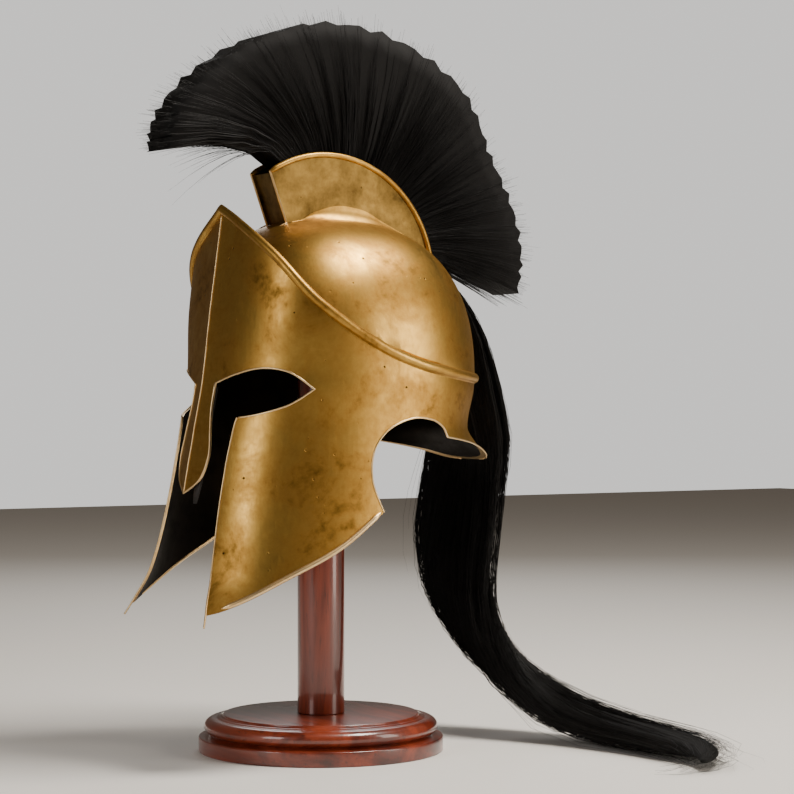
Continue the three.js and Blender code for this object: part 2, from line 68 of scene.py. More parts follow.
def material(name):
    """New material with an emptied tree; returns it, its tree and its output node."""
    made = bpy.data.materials.new(name)
    made.use_nodes = True
    made.node_tree.nodes.clear()
    return made, made.node_tree, made.node_tree.nodes.new("ShaderNodeOutputMaterial")


def mesh_object(name, points, faces, materials, smooth=True):
    """Object at the origin from points in metres; its place is in its mesh."""
    mesh = bpy.data.meshes.new(name)
    mesh.from_pydata([tuple(p) for p in points], [], [tuple(int(i) for i in f) for f in faces])
    mesh.update()
    if smooth:
        mesh.shade_smooth()
    for each in materials:
        mesh.materials.append(each)
    made = bpy.data.objects.new(name, mesh)
    bpy.context.scene.collection.objects.link(made)
    return made


def area_light(name, place, target, size, power, colour):
    data = bpy.data.lights.new(name, "AREA")
    data.shape = "RECTANGLE"
    data.size, data.size_y = size
    data.energy = power
    data.color = linear(colour)[:3]
    made = bpy.data.objects.new(name, data)
    made.location = place
    made.rotation_euler = (Vector(target) - Vector(place)).to_track_quat("-Z", "Y").to_euler()
    bpy.context.scene.collection.objects.link(made)
    return made


camera_data = bpy.data.cameras.new("camera")
camera_data.lens = 106.5
camera_data.sensor_width = 36
camera_data.clip_end = 50
camera = bpy.data.objects.new("camera", camera_data)
camera.location = (1.663, -0.966, 0.288)
camera.rotation_euler = Vector((-0.848, 0.530, 0)).to_track_quat("-Z", "Y").to_euler()
bpy.context.scene.collection.objects.link(camera)
bpy.context.scene.camera = camera

HELMET_MIDDLE = (0, 0, 0.32)
area_light("softbox_overhead", (0.50, 0.55, 1.75), HELMET_MIDDLE, (0.62, 0.46), 40, "#FFF8EE")
area_light("softbox_side", (1.15, 0.95, 0.55), HELMET_MIDDLE, (0.5, 1.2), 13, "#FFF6EA")
area_light("softbox_front", (0.35, -1.7, 0.75), HELMET_MIDDLE, (0.6, 0.9), 11, "#F6F3F0")
area_light("fill_behind", (-1.5, 0.9, 1.2), HELMET_MIDDLE, (0.8, 0.8), 6, "#FFFFFF")

world = bpy.data.worlds.new("studio_air")
world.use_nodes = True
air = world.node_tree
air.nodes.clear()
seen = node(air, "ShaderNodeBackground", Color=linear("#F1EFEC"), Strength=1.0)
unseen = node(air, "ShaderNodeBackground", Color=linear("#8B8176"), Strength=0.42)
path = node(air, "ShaderNodeLightPath")
shown = node(air, "ShaderNodeMixShader", {"Fac": path.outputs["Is Camera Ray"]})
air.links.new(unseen.outputs[0], shown.inputs[1])
air.links.new(seen.outputs[0], shown.inputs[2])
air.links.new(shown.outputs[0], node(air, "ShaderNodeOutputWorld").inputs["Surface"])
bpy.context.scene.world = world

# Matt pale floor paper, plain.
floor_paper, tree, out = material("floor_paper")
paper = node(tree, "ShaderNodeBsdfPrincipled", Base_Color=linear("#ECE9E4"), Roughness=0.8)
tree.links.new(paper.outputs[0], out.inputs["Surface"])
FLOOR = 4.0
floor = mesh_object("floor", [(a * FLOOR, b * FLOOR, 0) for a, b in
                              ((-1, -1), (1, -1), (1, 1), (-1, 1))], [(0, 1, 2, 3)], [floor_paper])

# ------------------------------------------------------------------ helmet shell
# One sheet of brass, 1.6 mm thick, raised over stakes: dome, gabled brow rib, face with nasal and
# cheek guards, flared neck guard. The openings are sawn out and their edges filed bright, their
# pale colour partly a painted highlight; the cheek guards' lower edges are rolled over a wire.
SHEET = 1.6
SHELL_COLUMNS, DOME_ROWS, RIB_ROWS, MASK_ROWS = 248, 30, 10, 92
DOME = dict(foot=300, height=133, side=105, front=108, back=126, square=2.4, profile=2.5)
# z, side, front, back, square
MASK_PLAN = np.array([
    (108, 115, 166, 150, 2.6), (124, 112, 153, 150, 2.6), (150, 107.5, 137, 150, 2.6),
    (195, 103.5, 124, 150, 2.6), (232, 101, 117, 150, 2.5), (240, 100.5, 115.5, 142, 2.5),
    (250, 100, 113.5, 128, 2.5), (264, 100, 111, 118.5, 2.5), (300, 102.5, 104, 125, 2.5),
    (357, 104, 97, 124, 2.9), (400, 102, 91, 122, 3), (440, 98, 85.7, 120, 3)], float)
BROW_RIDGE_REACH, BROW_RIDGE_SPREAD = 5, 22
# turn in degrees from the brow, height, drop to the dome's foot
RIB_LINE = np.array([
    (0, 438, 26), (15, 426.5, 19), (29, 413, 12), (41, 397, 7), (60, 360, -1), (78, 336.5, -4.5),
    (96, 321, -5), (115, 311, -5), (140, 304.5, -5), (180, 301, -5)], float)
RIB_RADIUS = 3.8
SKIRT_LOW, SKIRT_NAPE, SKIRT_FROM, SKIRT_TO = 108, 226, 84, 122
CHEEK_EDGE = np.array([(-139, 121), (-124, 127), (-84, 148), (-40, 171), (-3, 198)], float)
EAR_ARCH = np.array([(-3, 198), (-12, 222), (-10, 245), (3, 262), (25, 271), (46, 270), (59, 264),
                     (64, 256)], float)
NAPE_EDGE = np.array([(64, 256), (98, 251), (126, 244), (146, 236), (175, 226)], float)
HEM_BEAD_RADIUS = 2.4
EYE_TURN = math.radians(38)
EYE_UPPER = np.array([(-51.5, 299), (-30, 306), (-5, 310.5), (18, 307), (36, 294)], float)
EYE_LOWER = np.array([(36, 294), (18, 282), (-5, 275), (-26, 272), (-51.5, 272)], float)
NASAL_EDGE = np.array([(16.5, 299), (16.8, 280), (21, 258), (23.5, 241), (17, 223), (0, 212)], float)
CHEEK_FRONT = np.array([(49, 276), (46, 266), (44, 235), (45.5, 195), (51, 158), (58, 136),
                        (70, 112)], float)


def sample(rows, column, at):
    """Smooth value of a table's column at places in its first column, which only rises."""
    keys, values = rows[:, 0], rows[:, column]
    at = np.clip(np.asarray(at, float), keys[0], keys[-1])
    spans = np.diff(keys)
    slopes = np.diff(values) / spans
    a, b = slopes[:-1], slopes[1:]
    with np.errstate(divide="ignore", invalid="ignore"):
        joins = np.where(a * b <= 0, 0, 2 * a * b / (a + b))
    i = np.clip(np.searchsorted(keys, at, side="left") - 1, 0, len(spans) - 1)
    start = np.concatenate([slopes[:1], joins])[i]
    end = np.concatenate([joins, slopes[-1:]])[i]
    t = (at - keys[i]) / spans[i]
    return (values[i] * (1 + 2 * t) * (1 - t) ** 2 + start * spans[i] * t * (1 - t) ** 2
            + values[i + 1] * t * t * (3 - 2 * t) + end * spans[i] * t * t * (t - 1))


def oval(turn, side, front, back, square):
    reach = np.where(np.cos(turn) > 0, front, back)
    radius = ((np.abs(np.sin(turn)) / side) ** square
              + (np.abs(np.cos(turn)) / reach) ** square) ** (-1 / square)
    return radius * np.sin(turn), -radius * np.cos(turn)


def mask_point(turn, z):
    side, front, back, square = (sample(MASK_PLAN, column, z) for column in (1, 2, 3, 4))
    x, y = oval(turn, side, front, back, square)
    facing = np.minimum(1, 4 * np.maximum(0, np.cos(turn)))
    y = y - BROW_RIDGE_REACH * np.exp(-np.abs(x) / BROW_RIDGE_SPREAD) * facing
    return np.stack([x, y, np.broadcast_to(z, np.shape(x))], -1)


def dome_point(turn, z, grow=0.0):
    rise = np.clip((z - DOME["foot"]) / (DOME["height"] + grow), 0, 1)
    shrink = (1 - rise ** DOME["profile"]) ** (1 / DOME["profile"])
    side, front, back = (np.maximum(1e-4, (DOME[name] + grow) * shrink)
                         for name in ("side", "front", "back"))
    x, y = oval(turn, side, front, back, DOME["square"])
    return np.stack([x, y, np.broadcast_to(z, np.shape(x))], -1)


def unit(vectors):
    return vectors / np.maximum(np.linalg.norm(vectors, axis=-1, keepdims=True), 1e-9)


def rib_point(turn):
    return mask_point(turn, sample(RIB_LINE, 1, np.degrees(np.abs(turn))))


def shell_grid():
    """Outer face as rows of columns, from just off the crown down to the skirt."""
    turn = np.linspace(-math.pi, math.pi, SHELL_COLUMNS, endpoint=False)
    degrees = np.degrees(np.abs(turn))
    high, drop = sample(RIB_LINE, 1, degrees), sample(RIB_LINE, 2, degrees)
    end = np.arcsin(np.clip((high - drop - DOME["foot"]) / DOME["height"], 0, 1)
                    ** (DOME["profile"] / 2))
    rows = []
    for i in range(1, DOME_ROWS + 1):
        angle = math.pi / 2 + (end - math.pi / 2) * (i / DOME_ROWS)
        rows.append(dome_point(turn, DOME["foot"] + DOME["height"] * np.sin(angle)
                               ** (2 / DOME["profile"])))
    rib = rib_point(turn)
    wrapped = (turn + 0.02 + math.pi) % (2 * math.pi) - math.pi, \
        (turn - 0.02 + math.pi) % (2 * math.pi) - math.pi
    along = unit(rib_point(wrapped[0]) - rib_point(wrapped[1]))
    outward = rib * (1, 1, 0)
    outward = unit(outward - along * np.sum(outward * along, -1, keepdims=True))
    up = np.cross(outward, along)
    for angle in np.radians(np.linspace(8, 172, RIB_ROWS)):
        rows.append(rib + up * RIB_RADIUS * math.cos(angle) + outward * RIB_RADIUS * math.sin(angle))
    eased = np.clip((degrees - SKIRT_FROM) / (SKIRT_TO - SKIRT_FROM), 0, 1)
    low = SKIRT_LOW + (SKIRT_NAPE - SKIRT_LOW) * eased * eased * (3 - 2 * eased)
    start = high - RIB_RADIUS * 1.25
    for i in range(MASK_ROWS + 1):
        rows.append(mask_point(turn, start + (low - start) * (i / MASK_ROWS)))
    return np.stack(rows)


def smooth_curve(points, count=72):
    """Many points on the smooth curve through a few."""
    points = np.asarray(points, float)
    padded = np.vstack([points[:1], points, points[-1:]])
    spots = np.linspace(0, len(points) - 1, count)
    i = np.minimum(spots.astype(int), len(points) - 2)
    t = (spots - i)[:, None]
    a, b, c, d = (padded[i + k] for k in range(4))
    return 0.5 * (2 * b + (c - a) * t + (2 * a - 5 * b + 4 * c - d) * t ** 2
                  + (3 * b - a - 3 * c + d) * t ** 3)


def cutter(name, loop, right, near, far, finish):
    """Straight cutter: an outline (across, up) drawn on an upright plane and pushed along it."""
    right = Vector(right)
    normal = right.cross(Vector((0, 0, 1)))
    points = [(right * a + normal * depth + Vector((0, 0, b))) * MM
              for depth in (near, far) for a, b in loop]
    n = len(loop)
    faces = [tuple(range(n)), tuple(range(2 * n - 1, n - 1, -1))]
    faces += [(i, n + i, n + (i + 1) % n, (i + 1) % n) for i in range(n)]
    made = mesh_object(name, points, faces, finish, smooth=False)
    shape = bmesh.new()
    shape.from_mesh(made.data)
    bmesh.ops.recalc_face_normals(shape, faces=shape.faces)
    shape.to_mesh(made.data)
    shape.free()
    for polygon in made.data.polygons:
        polygon.material_index = 2
    return made


def open_loop(*curves):
    return np.vstack([curve if i == 0 else curve[1:] for i, curve in enumerate(curves)])


def brass(name, tones, roughness, wear=1.0, pits=1.0):
    """Hand-raised brass, darkened and rubbed back: satin, finely scratched, with dark clouds."""
    made, tree, out = material(name)
    spot = node(tree, "ShaderNodeTexCoord").outputs["Object"]
    dark, middle, bright = (linear(tone) for tone in tones)
    # Clouds of patina, about 40 mm, broken up by a finer mottle of about 6 mm.
    clouds = node(tree, "ShaderNodeTexNoise", {"Vector": spot}, Scale=26.0, Detail=5.0,
                  Roughness=0.62, Distortion=0.5)
    mottle = node(tree, "ShaderNodeTexNoise", {"Vector": spot}, Scale=150.0, Detail=4.0,
                  Roughness=0.65)
    both = node(tree, "ShaderNodeMath", {"Value": clouds.outputs["Fac"]}, operation="MULTIPLY_ADD")
    both.inputs[1].default_value = 0.72
    part = node(tree, "ShaderNodeMath", {"Value": mottle.outputs["Fac"]}, operation="MULTIPLY")
    part.inputs[1].default_value = 0.28
    tree.links.new(part.outputs[0], both.inputs[2])
    tone = node(tree, "ShaderNodeValToRGB", {"Fac": both.outputs[0]})
    ramp = tone.color_ramp
    ramp.elements[0].position, ramp.elements[0].color = 0.30, dark
    ramp.elements[1].position, ramp.elements[1].color = 0.66, bright
    ramp.elements.new(0.44).color = middle
    # Strokes of the abrasive, about 1 mm wide: far coarser than the real ones, so that they show.
    turned = node(tree, "ShaderNodeMapping", {"Vector": spot}, Rotation=(0.5, 0.3, 0.6),
                  Scale=(1.0, 1.0, 0.05))
    strokes = node(tree, "ShaderNodeTexNoise", {"Vector": turned.outputs[0]}, Scale=900.0,
                   Detail=3.0, Roughness=0.6)
    # Pits of 1 to 2 mm, eaten into the sheet and full of dark wax.
    cells = node(tree, "ShaderNodeTexVoronoi", {"Vector": spot}, Scale=95.0, Randomness=1.0)
    pit = node(tree, "ShaderNodeMapRange", {"Value": cells.outputs["Distance"]},
               From_Min=0.05, From_Max=0.10, To_Min=1.0, To_Max=0.0)
    rare = node(tree, "ShaderNodeTexNoise", {"Vector": spot}, Scale=60.0, Detail=1.0)
    chosen = node(tree, "ShaderNodeMapRange", {"Value": rare.outputs["Fac"]},
                  From_Min=0.50, From_Max=0.56)
    spots = node(tree, "ShaderNodeMath", {"Value": pit.outputs[0]}, operation="MULTIPLY")
    tree.links.new(chosen.outputs[0], spots.inputs[1])
    amount = node(tree, "ShaderNodeMath", {"Value": spots.outputs[0]}, operation="MULTIPLY")
    amount.inputs[1].default_value = 0.9 * pits
    colour = node(tree, "ShaderNodeMix", {"Factor": amount.outputs[0]}, data_type="RGBA")
    tree.links.new(tone.outputs["Color"], colour.inputs["A"])
    colour.inputs["B"].default_value = linear("#1C1206")
    gloss = node(tree, "ShaderNodeMapRange", {"Value": both.outputs[0]}, From_Min=0.34,
                 From_Max=0.66, To_Min=roughness + 0.13 * wear, To_Max=roughness - 0.04 * wear)
    rough = node(tree, "ShaderNodeMath", {"Value": strokes.outputs["Fac"]}, operation="MULTIPLY_ADD")
    rough.inputs[1].default_value = 0.16 * wear
    tree.links.new(gloss.outputs[0], rough.inputs[2])
    # Height: strokes are a few hundredths of a millimetre, planishing marks a few tenths.
    planish = node(tree, "ShaderNodeTexNoise", {"Vector": spot}, Scale=75.0, Detail=1.0)
    grain = node(tree, "ShaderNodeBump", {"Height": strokes.outputs["Fac"]}, Strength=0.5 * wear,
                 Distance=0.00006)
    facets = node(tree, "ShaderNodeBump", {"Height": planish.outputs["Fac"],
                                           "Normal": grain.outputs[0]}, Strength=0.35,
                  Distance=0.0004)
    holes = node(tree, "ShaderNodeBump", {"Height": spots.outputs[0], "Normal": facets.outputs[0]},
                 Strength=0.8 * pits, Distance=0.0004, invert=True)
    metal = node(tree, "ShaderNodeBsdfPrincipled", {
        "Base Color": colour.outputs["Result"], "Roughness": rough.outputs[0],
        "Normal": holes.outputs[0]}, Metallic=1.0)
    tree.links.new(metal.outputs[0], out.inputs["Surface"])
    return made


# Rubbed brass on the outside, near black inside, filed bright on every sawn edge, the edges'
# pale colour partly a painted highlight.
aged_brass = brass("aged_brushed_brass", ("#50380F", "#9E7534", "#BE974B"), 0.29)
near_black_brass = brass("near_black_brass_inside", ("#0B0806", "#15100A", "#1E170E"), 0.55,
                        pits=0.0)
# Pale brass for the filed edges: partly bare rubbed metal, partly a painted highlight.
filed_brass_and_highlight = brass("filed_edge_brass_painted_highlight", ("#C9A267", "#E2C08A", "#F0D6A6"), 0.26, pits=0.0)


def shell_mesh():
    grid = shell_grid() * MM
    rows, columns = grid.shape[:2]
    crown = np.array([[0, 0, (DOME["foot"] + DOME["height"]) * MM]])
    outer = np.vstack([crown, grid.reshape(-1, 3)])
    i, j = np.meshgrid(np.arange(rows - 1), np.arange(columns), indexing="ij")
    k = (j + 1) % columns
    quads = np.stack([1 + i * columns + j, 1 + (i + 1) * columns + j,
                      1 + (i + 1) * columns + k, 1 + i * columns + k], -1).reshape(-1, 4)
    ring = np.arange(columns)
    tips = np.stack([np.zeros(columns, int), 1 + ring, 1 + (ring + 1) % columns], -1)
    draft = bpy.data.meshes.new("draft")
    draft.from_pydata(outer.tolist(), [], tips.tolist() + quads.tolist())
    draft.update()
    normals = np.empty(len(outer) * 3)
    draft.vertex_normals.foreach_get("vector", normals)
    bpy.data.meshes.remove(draft)
    inner = outer - normals.reshape(-1, 3) * SHEET * MM
    shift = len(outer)
    last = 1 + (rows - 1) * columns
    hem = [(last + a, last + a + shift, last + (a + 1) % columns + shift, last + (a + 1) % columns)
           for a in ring]
    outer_faces = tips.tolist() + quads.tolist()
    inner_faces = [[v + shift for v in face[::-1]] for face in outer_faces]
    shell = mesh_object("shell_sheet", np.vstack([outer, inner]), outer_faces + inner_faces + hem,
                        [aged_brass, near_black_brass, filed_brass_and_highlight])
    count = len(outer_faces)
    index = [0] * count + [1] * count + [2] * len(hem)
    shell.data.polygons.foreach_set("material_index", index)
    shell.data.update()
    return shell


def cut(shell, tool):
    """Saw one straight outline out of the sheet."""
    saw = shell.modifiers.new("saw", "BOOLEAN")
    saw.operation, saw.solver, saw.object = "DIFFERENCE", "EXACT", tool
    saw.material_mode = "INDEX"
    bpy.context.view_layer.update()
    made = bpy.data.meshes.new_from_object(shell.evaluated_get(
        bpy.context.evaluated_depsgraph_get()))
    shell.modifiers.clear()
    shell.data = made
    bpy.data.objects.remove(tool)


def on_mask(axis, values, heights, side=1, low=0.0, high=math.pi):
    """Points of the mask at given x or y (axis 0 or 1) and height, by halving the turn."""
    values, heights = np.asarray(values, float), np.asarray(heights, float)
    low, high = np.full(len(values), low), np.full(len(values), high)
    for _ in range(40):
        middle = (low + high) / 2
        short = mask_point(middle, heights)[:, axis] < values
        low, high = np.where(short, middle, low), np.where(short, high, middle)
    return mask_point(side * (low + high) / 2, heights)


def sweep(path, outward, radius, sides=10, closed=False):
    """Closed round wire along points; outward keeps its section from turning."""
    path = np.asarray(path, float)
    n = len(path)
    radius = np.broadcast_to(radius, n)
    if closed:
        along = unit(np.roll(path, -1, 0) - np.roll(path, 1, 0))
    else:
        along = unit(np.gradient(path, axis=0))
    out = unit(outward - along * np.sum(outward * along, -1, keepdims=True))
    over = np.cross(along, out)
    turns = np.linspace(0, 2 * math.pi, sides, endpoint=False)
    points = (path[:, None] + radius[:, None, None] * (
        out[:, None] * np.cos(turns)[None, :, None] + over[:, None] * np.sin(turns)[None, :, None]))
    points = points.reshape(-1, 3)
    faces = []
    for i in range(n if closed else n - 1):
        a, b = i * sides, ((i + 1) % n) * sides
        faces += [(a + k, a + (k + 1) % sides, b + (k + 1) % sides, b + k) for k in range(sides)]
    if not closed:
        faces += [tuple(range(sides))[::-1], tuple(range((n - 1) * sides, n * sides))]
    return points, faces


def joined(parts):
    """One point list and face list from several."""
    points, faces, shift = [], [], 0
    for some_points, some_faces in parts:
        points.append(np.asarray(some_points, float))
        faces += [tuple(v + shift for v in face) for face in some_faces]
        shift += len(some_points)
    return np.vstack(points), faces


shell = shell_mesh()
hem_loop = open_loop(smooth_curve(CHEEK_EDGE), smooth_curve(EAR_ARCH, 96), smooth_curve(NAPE_EDGE))
hem_loop = np.vstack([hem_loop, [(200, 226), (200, 60), (-190, 60), (-190, 119)]])
finishes = [aged_brass, near_black_brass, filed_brass_and_highlight]
cut(shell, cutter("hem_saw", hem_loop, (0, 1, 0), -200, 200, finishes))
nasal = smooth_curve(NASAL_EDGE)
cheek = smooth_curve(CHEEK_FRONT)
gap_loop = np.vstack([nasal[::-1], cheek, cheek[::-1] * (-1, 1), (nasal * (-1, 1))[:-1]])
cut(shell, cutter("gap_saw", gap_loop, (1, 0, 0), 60, 220, finishes))
eye_loop = open_loop(smooth_curve(EYE_UPPER), smooth_curve(EYE_LOWER))
for side in (1, -1):
    tool = cutter("eye_saw", eye_loop * (side, 1),
                  (math.cos(EYE_TURN), side * math.sin(EYE_TURN), 0), 40, 180, finishes)
    cut(shell, tool)
shell.data.shade_smooth()
shell.data.set_sharp_from_angle(angle=math.radians(32))
shell.name = "raised_brass_shell"
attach(shell, "root")
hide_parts("helmet_shell")

# ------------------------------------------------------------------ shell trim
# The lower edge of each cheek guard is rolled over a wire, every other edge is filed to a narrow
# bright bead, and a fine ridge runs down the fold of the face to the nasal's point. Their pale
# brass is partly bare metal and partly a painted highlight.
EDGE_RADIUS = 0.75
RIDGE_RADIUS = 0.8
CHEEK_TOP = 272.5
EYE_CORNER = 294


def outward_of(points):
    return unit(np.asarray(points) * (1, 1, 0))


def trim_wires():
    parts = []
    for side in (1, -1):
        y = np.linspace(CHEEK_EDGE[1, 0] - 6, CHEEK_EDGE[-1, 0] - 2.5, 90)
        z = sample(CHEEK_EDGE, 1, y) + HEM_BEAD_RADIUS * 0.8
        path = on_mask(1, y, z, side)
        grown = HEM_BEAD_RADIUS * 0.9 * np.clip(np.minimum(np.arange(90), 89 - np.arange(90)) / 5 + 0.3,
                                                0, 1)
        parts.append(sweep(path, outward_of(path), grown, 12))
        edge = open_loop(smooth_curve(EAR_ARCH, 80), smooth_curve(NAPE_EDGE, 60))
        edge = edge[edge[:, 0] < 149]
        path = on_mask(1, edge[:, 0], edge[:, 1], side)
        parts.append(sweep(path, outward_of(path), EDGE_RADIUS, 8))
        kept = cheek[cheek[:, 1] < CHEEK_TOP]
        cheek_path = on_mask(0, kept[:, 0], kept[:, 1], 1, 0, math.pi / 2) * (side, 1, 1)
        parts.append(sweep(cheek_path, outward_of(cheek_path), EDGE_RADIUS, 8))
        parts.append(sweep(*eye_path(eye_loop, side), EDGE_RADIUS, 8))
    nasal_path = on_mask(0, nasal[:, 0], nasal[:, 1], 1, 0, math.pi / 2)
    nasal_loop = np.vstack([nasal_path, (nasal_path * (-1, 1, 1))[:-1][::-1]])
    parts.append(sweep(nasal_loop, outward_of(nasal_loop), EDGE_RADIUS, 8))
    z = np.linspace(RIB_LINE[0, 1] - RIB_RADIUS, NASAL_EDGE[-1, 1] + 1, 60)
    ridge = mask_point(np.zeros(60), z) + (0, 0.25, 0)
    parts.append(sweep(ridge, outward_of(ridge), RIDGE_RADIUS, 8))
    return joined(parts)


def eye_path(loop, side):
    """The eye's outline on the mask: points at a place across the turned plane and a height."""
    low, high = np.full(len(loop), 0.0), np.full(len(loop), math.pi * 0.6)
    for _ in range(40):
        middle = (low + high) / 2
        p = mask_point(middle, loop[:, 1])
        across = p[:, 0] * math.cos(EYE_TURN) + p[:, 1] * math.sin(EYE_TURN)
        short = across < loop[:, 0]
        low, high = np.where(short, middle, low), np.where(short, high, middle)
    path = mask_point((low + high) / 2, loop[:, 1])
    # The lower lid ends where the gap between nasal and cheek guard begins.
    past = np.arange(len(loop)) > len(loop) // 2
    path = path[:np.argmax(past & (path[:, 0] < CHEEK_FRONT[0, 0] - 0.8))]
    corner = on_mask(0, (NASAL_EDGE[0, 0], path[0, 0]), (NASAL_EDGE[0, 1], EYE_CORNER), 1, 0,
                     math.pi / 2)
    path = np.vstack([corner, path]) * (side, 1, 1)
    return path, outward_of(path)


points, faces = trim_wires()
trim = mesh_object("filed_rolled_edges_painted_highlight", points * MM, faces, [filed_brass_and_highlight])
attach(trim, "root")

# ------------------------------------------------------------------ crest box
# Two fan-shaped side plates of the same sheet, soldered to a flared foot on the crown, with a
# rolled bead along the top and a plate set back across the front. The plates are a darker brass
# than bead and foot: painted shade under the bead.
CREST_Y, CREST_Z, CREST_RADIUS, CREST_HALF = -2, 385, 100, 17
CREST_FRONT_TURN, CREST_TOE_Y, CREST_SET_BACK = 123, -41.2, 3
CREST_END_TURN = 8.5
CREST_BEAD = 2.5
FOOT_LINE = np.array([(-37.5, 424), (-15, 438), (8, 443.5), (28, 441), (49, 431.5), (78, 417),
                      (94, 401)], float)
FOOT_FLARE = 5.2


def dome_height(x, y, grow=0.0):
    """Height of the dome over a place."""
    reach = np.where(np.asarray(y) < 0, DOME["front"], DOME["back"]) + grow
    level = ((np.abs(x) / (DOME["side"] + grow)) ** DOME["square"]
             + (np.abs(y) / reach) ** DOME["square"]) ** (1 / DOME["square"])
    return DOME["foot"] + (DOME["height"] + grow) * np.clip(
        1 - level ** DOME["profile"], 0, 1) ** (1 / DOME["profile"])


def crest_point(turn, radius):
    turn = np.radians(turn)
    return CREST_Y + radius * np.cos(turn), CREST_Z + radius * np.sin(turn)


def slab(front, back):
    """Closed sheet between two grids of points of the same shape."""
    rows, columns = front.shape[:2]
    points = np.vstack([front.reshape(-1, 3), back.reshape(-1, 3)])
    n = rows * columns
    faces = []
    for i in range(rows - 1):
        for j in range(columns - 1):
            a = i * columns + j
            faces.append((a, a + 1, a + columns + 1, a + columns))
            faces.append((n + a, n + a + columns, n + a + columns + 1, n + a + 1))
    rim = ([j for j in range(columns)] + [i * columns + columns - 1 for i in range(1, rows)]
           + [(rows - 1) * columns + j for j in range(columns - 2, -1, -1)]
           + [i * columns for i in range(rows - 2, 0, -1)])
    for a, b in zip(rim, rim[1:] + rim[:1]):
        faces.append((a, n + a, n + b, b))
    return points, faces


def crest_plates():
    parts = []
    along = np.linspace(0, 1, 90)
    top_y, top_z = crest_point(CREST_FRONT_TURN + (CREST_END_TURN - CREST_FRONT_TURN) * along,
                               CREST_RADIUS)
    end_y = top_y[-1]
    low_y = CREST_TOE_Y + (end_y - CREST_TOE_Y) * along ** 1.1
    low_z = dome_height(CREST_HALF, low_y) + 0.2
    low_z = np.minimum(low_z, top_z)
    up = np.linspace(0, 1, 18)
    y = low_y[:, None] + (top_y - low_y)[:, None] * up
    z = low_z[:, None] + (top_z - low_z)[:, None] * up
    hollow = 0.9 * np.sin(math.pi * up) * np.sin(math.pi * np.clip(along[:, None] * 3, 0, 0.5))
    outer = np.stack([CREST_HALF - hollow, y, z], -1)
    inner = outer - (SHEET, 0, 0)
    for side in (1, -1):
        parts.append(slab(outer * (side, 1, 1), inner * (side, 1, 1)))
    # Front plate, set back between the two.
    rise = np.linspace(0, 1, 16)[:, None]
    front_y = CREST_TOE_Y + CREST_SET_BACK + (top_y[0] - CREST_TOE_Y) * rise
    front_z = low_z[0] - 1.5 + (top_z[0] - low_z[0] + 0.5) * rise
    across = np.linspace(-CREST_HALF + SHEET * 0.9, CREST_HALF - SHEET * 0.9, 10)[None, :]
    face = np.stack(np.broadcast_arrays(across, front_y, front_z), -1)
    parts.append(slab(face, face + (0, SHEET, 0.4)))
    return joined(parts)


def crest_foot():
    """Flared foot on each side: a hollow curve from the plate out on to the dome."""
    parts = []
    y = np.linspace(FOOT_LINE[0, 0], FOOT_LINE[-1, 0], 80)
    top = sample(FOOT_LINE, 1, y)
    share = np.linspace(0, 1, 12)
    for side in (1, -1):
        top_here = np.maximum(top, dome_height(CREST_HALF, y) + 0.4)
        ends = np.clip(np.minimum(np.arange(80), 79 - np.arange(80)) / 10, 0, 1) ** 0.6
        flare = FOOT_FLARE * (0.25 + 0.75 * ends)
        low = dome_height(CREST_HALF + flare, y) - 0.3
        x = CREST_HALF + 0.9 + (flare[:, None] - 0.9) * share ** 2.2
        z = top_here[:, None] + (low - top_here)[:, None] * share
        z = np.maximum(z, dome_height(x, y[:, None]) - 0.3)
        grid = np.stack([x, np.broadcast_to(y[:, None], x.shape), z], -1)
        inner = grid - np.array([1.4, 0, 0.2])
        parts.append(slab(grid * (side, 1, 1), inner * (side, 1, 1)))
    return joined(parts)


def crest_beads():
    parts = []
    turns = np.linspace(CREST_FRONT_TURN, CREST_END_TURN + 0.4, 110)
    for side in (1, -1):
        y, z = crest_point(turns, CREST_RADIUS - 0.6)
        x = np.full(len(y), side * (CREST_HALF - SHEET / 2))
        path = np.stack([x, y, z], -1)
        size = CREST_BEAD * np.clip(0.55 + np.minimum(np.arange(110), 109 - np.arange(110)) / 6,
                                    0, 1)
        parts.append(sweep(path, np.tile((side, 0.0, 0.0), (110, 1)), size, 12))
    return joined(parts)


def crest_front_edges():
    """Filed front edge of each side plate, drawn down to a short spike on the dome."""
    parts = []
    top = crest_point(CREST_FRONT_TURN, CREST_RADIUS)
    for side in (1, -1):
        share = np.linspace(0, 1, 30)
        y = top[0] + (CREST_TOE_Y - top[0]) * share
        z = top[1] + (dome_height(CREST_HALF, CREST_TOE_Y) - top[1]) * share
        x = np.full(30, side * (CREST_HALF - SHEET / 2))
        spike_y = y[-1] - np.linspace(0.8, 7, 8)
        spike_x = np.full(8, side * (CREST_HALF + 0.2))
        spike = np.stack([spike_x, spike_y, dome_height(CREST_HALF, spike_y) + 0.25], -1)
        path = np.vstack([np.stack([x, y, z], -1), spike])
        size = np.concatenate([np.full(30, 0.95), np.linspace(0.95, 0.15, 8)])
        parts.append(sweep(path, np.tile((side, 0.0, 0.0), (38, 1)), size, 8))
    return joined(parts)


# The crest plates get a darker copy of the brass: painted shade under the bead.
painted_shade_brass = brass("plate_brass_painted_shade", ("#2E2413", "#6A5228", "#90723A"), 0.38, wear=0.8,
                   pits=0.6)
pieces = [crest_plates(), crest_foot(), crest_beads(), crest_front_edges()]
points, faces = joined(pieces)
crest = mesh_object("crest_box_soldered", points * MM, faces,
                    [painted_shade_brass, aged_brass, filed_brass_and_highlight])
counts = np.cumsum([len(piece[1]) for piece in pieces])
index = np.searchsorted(counts, np.arange(counts[-1]), side="right")
crest.data.polygons.foreach_set("material_index", np.array([0, 1, 1, 2])[index])
crest.data.set_sharp_from_angle(angle=math.radians(40))
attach(crest, "root")
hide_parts("crest_box")

# ------------------------------------------------------------------ crest hair
# Stiff dyed horsehair, set in pitch in the channel and combed out to a fan. Hairs are drawn 0.5 mm
# thick, about three times the real one, so that each one shows, and end at any length.
rng = np.random.default_rng(300)
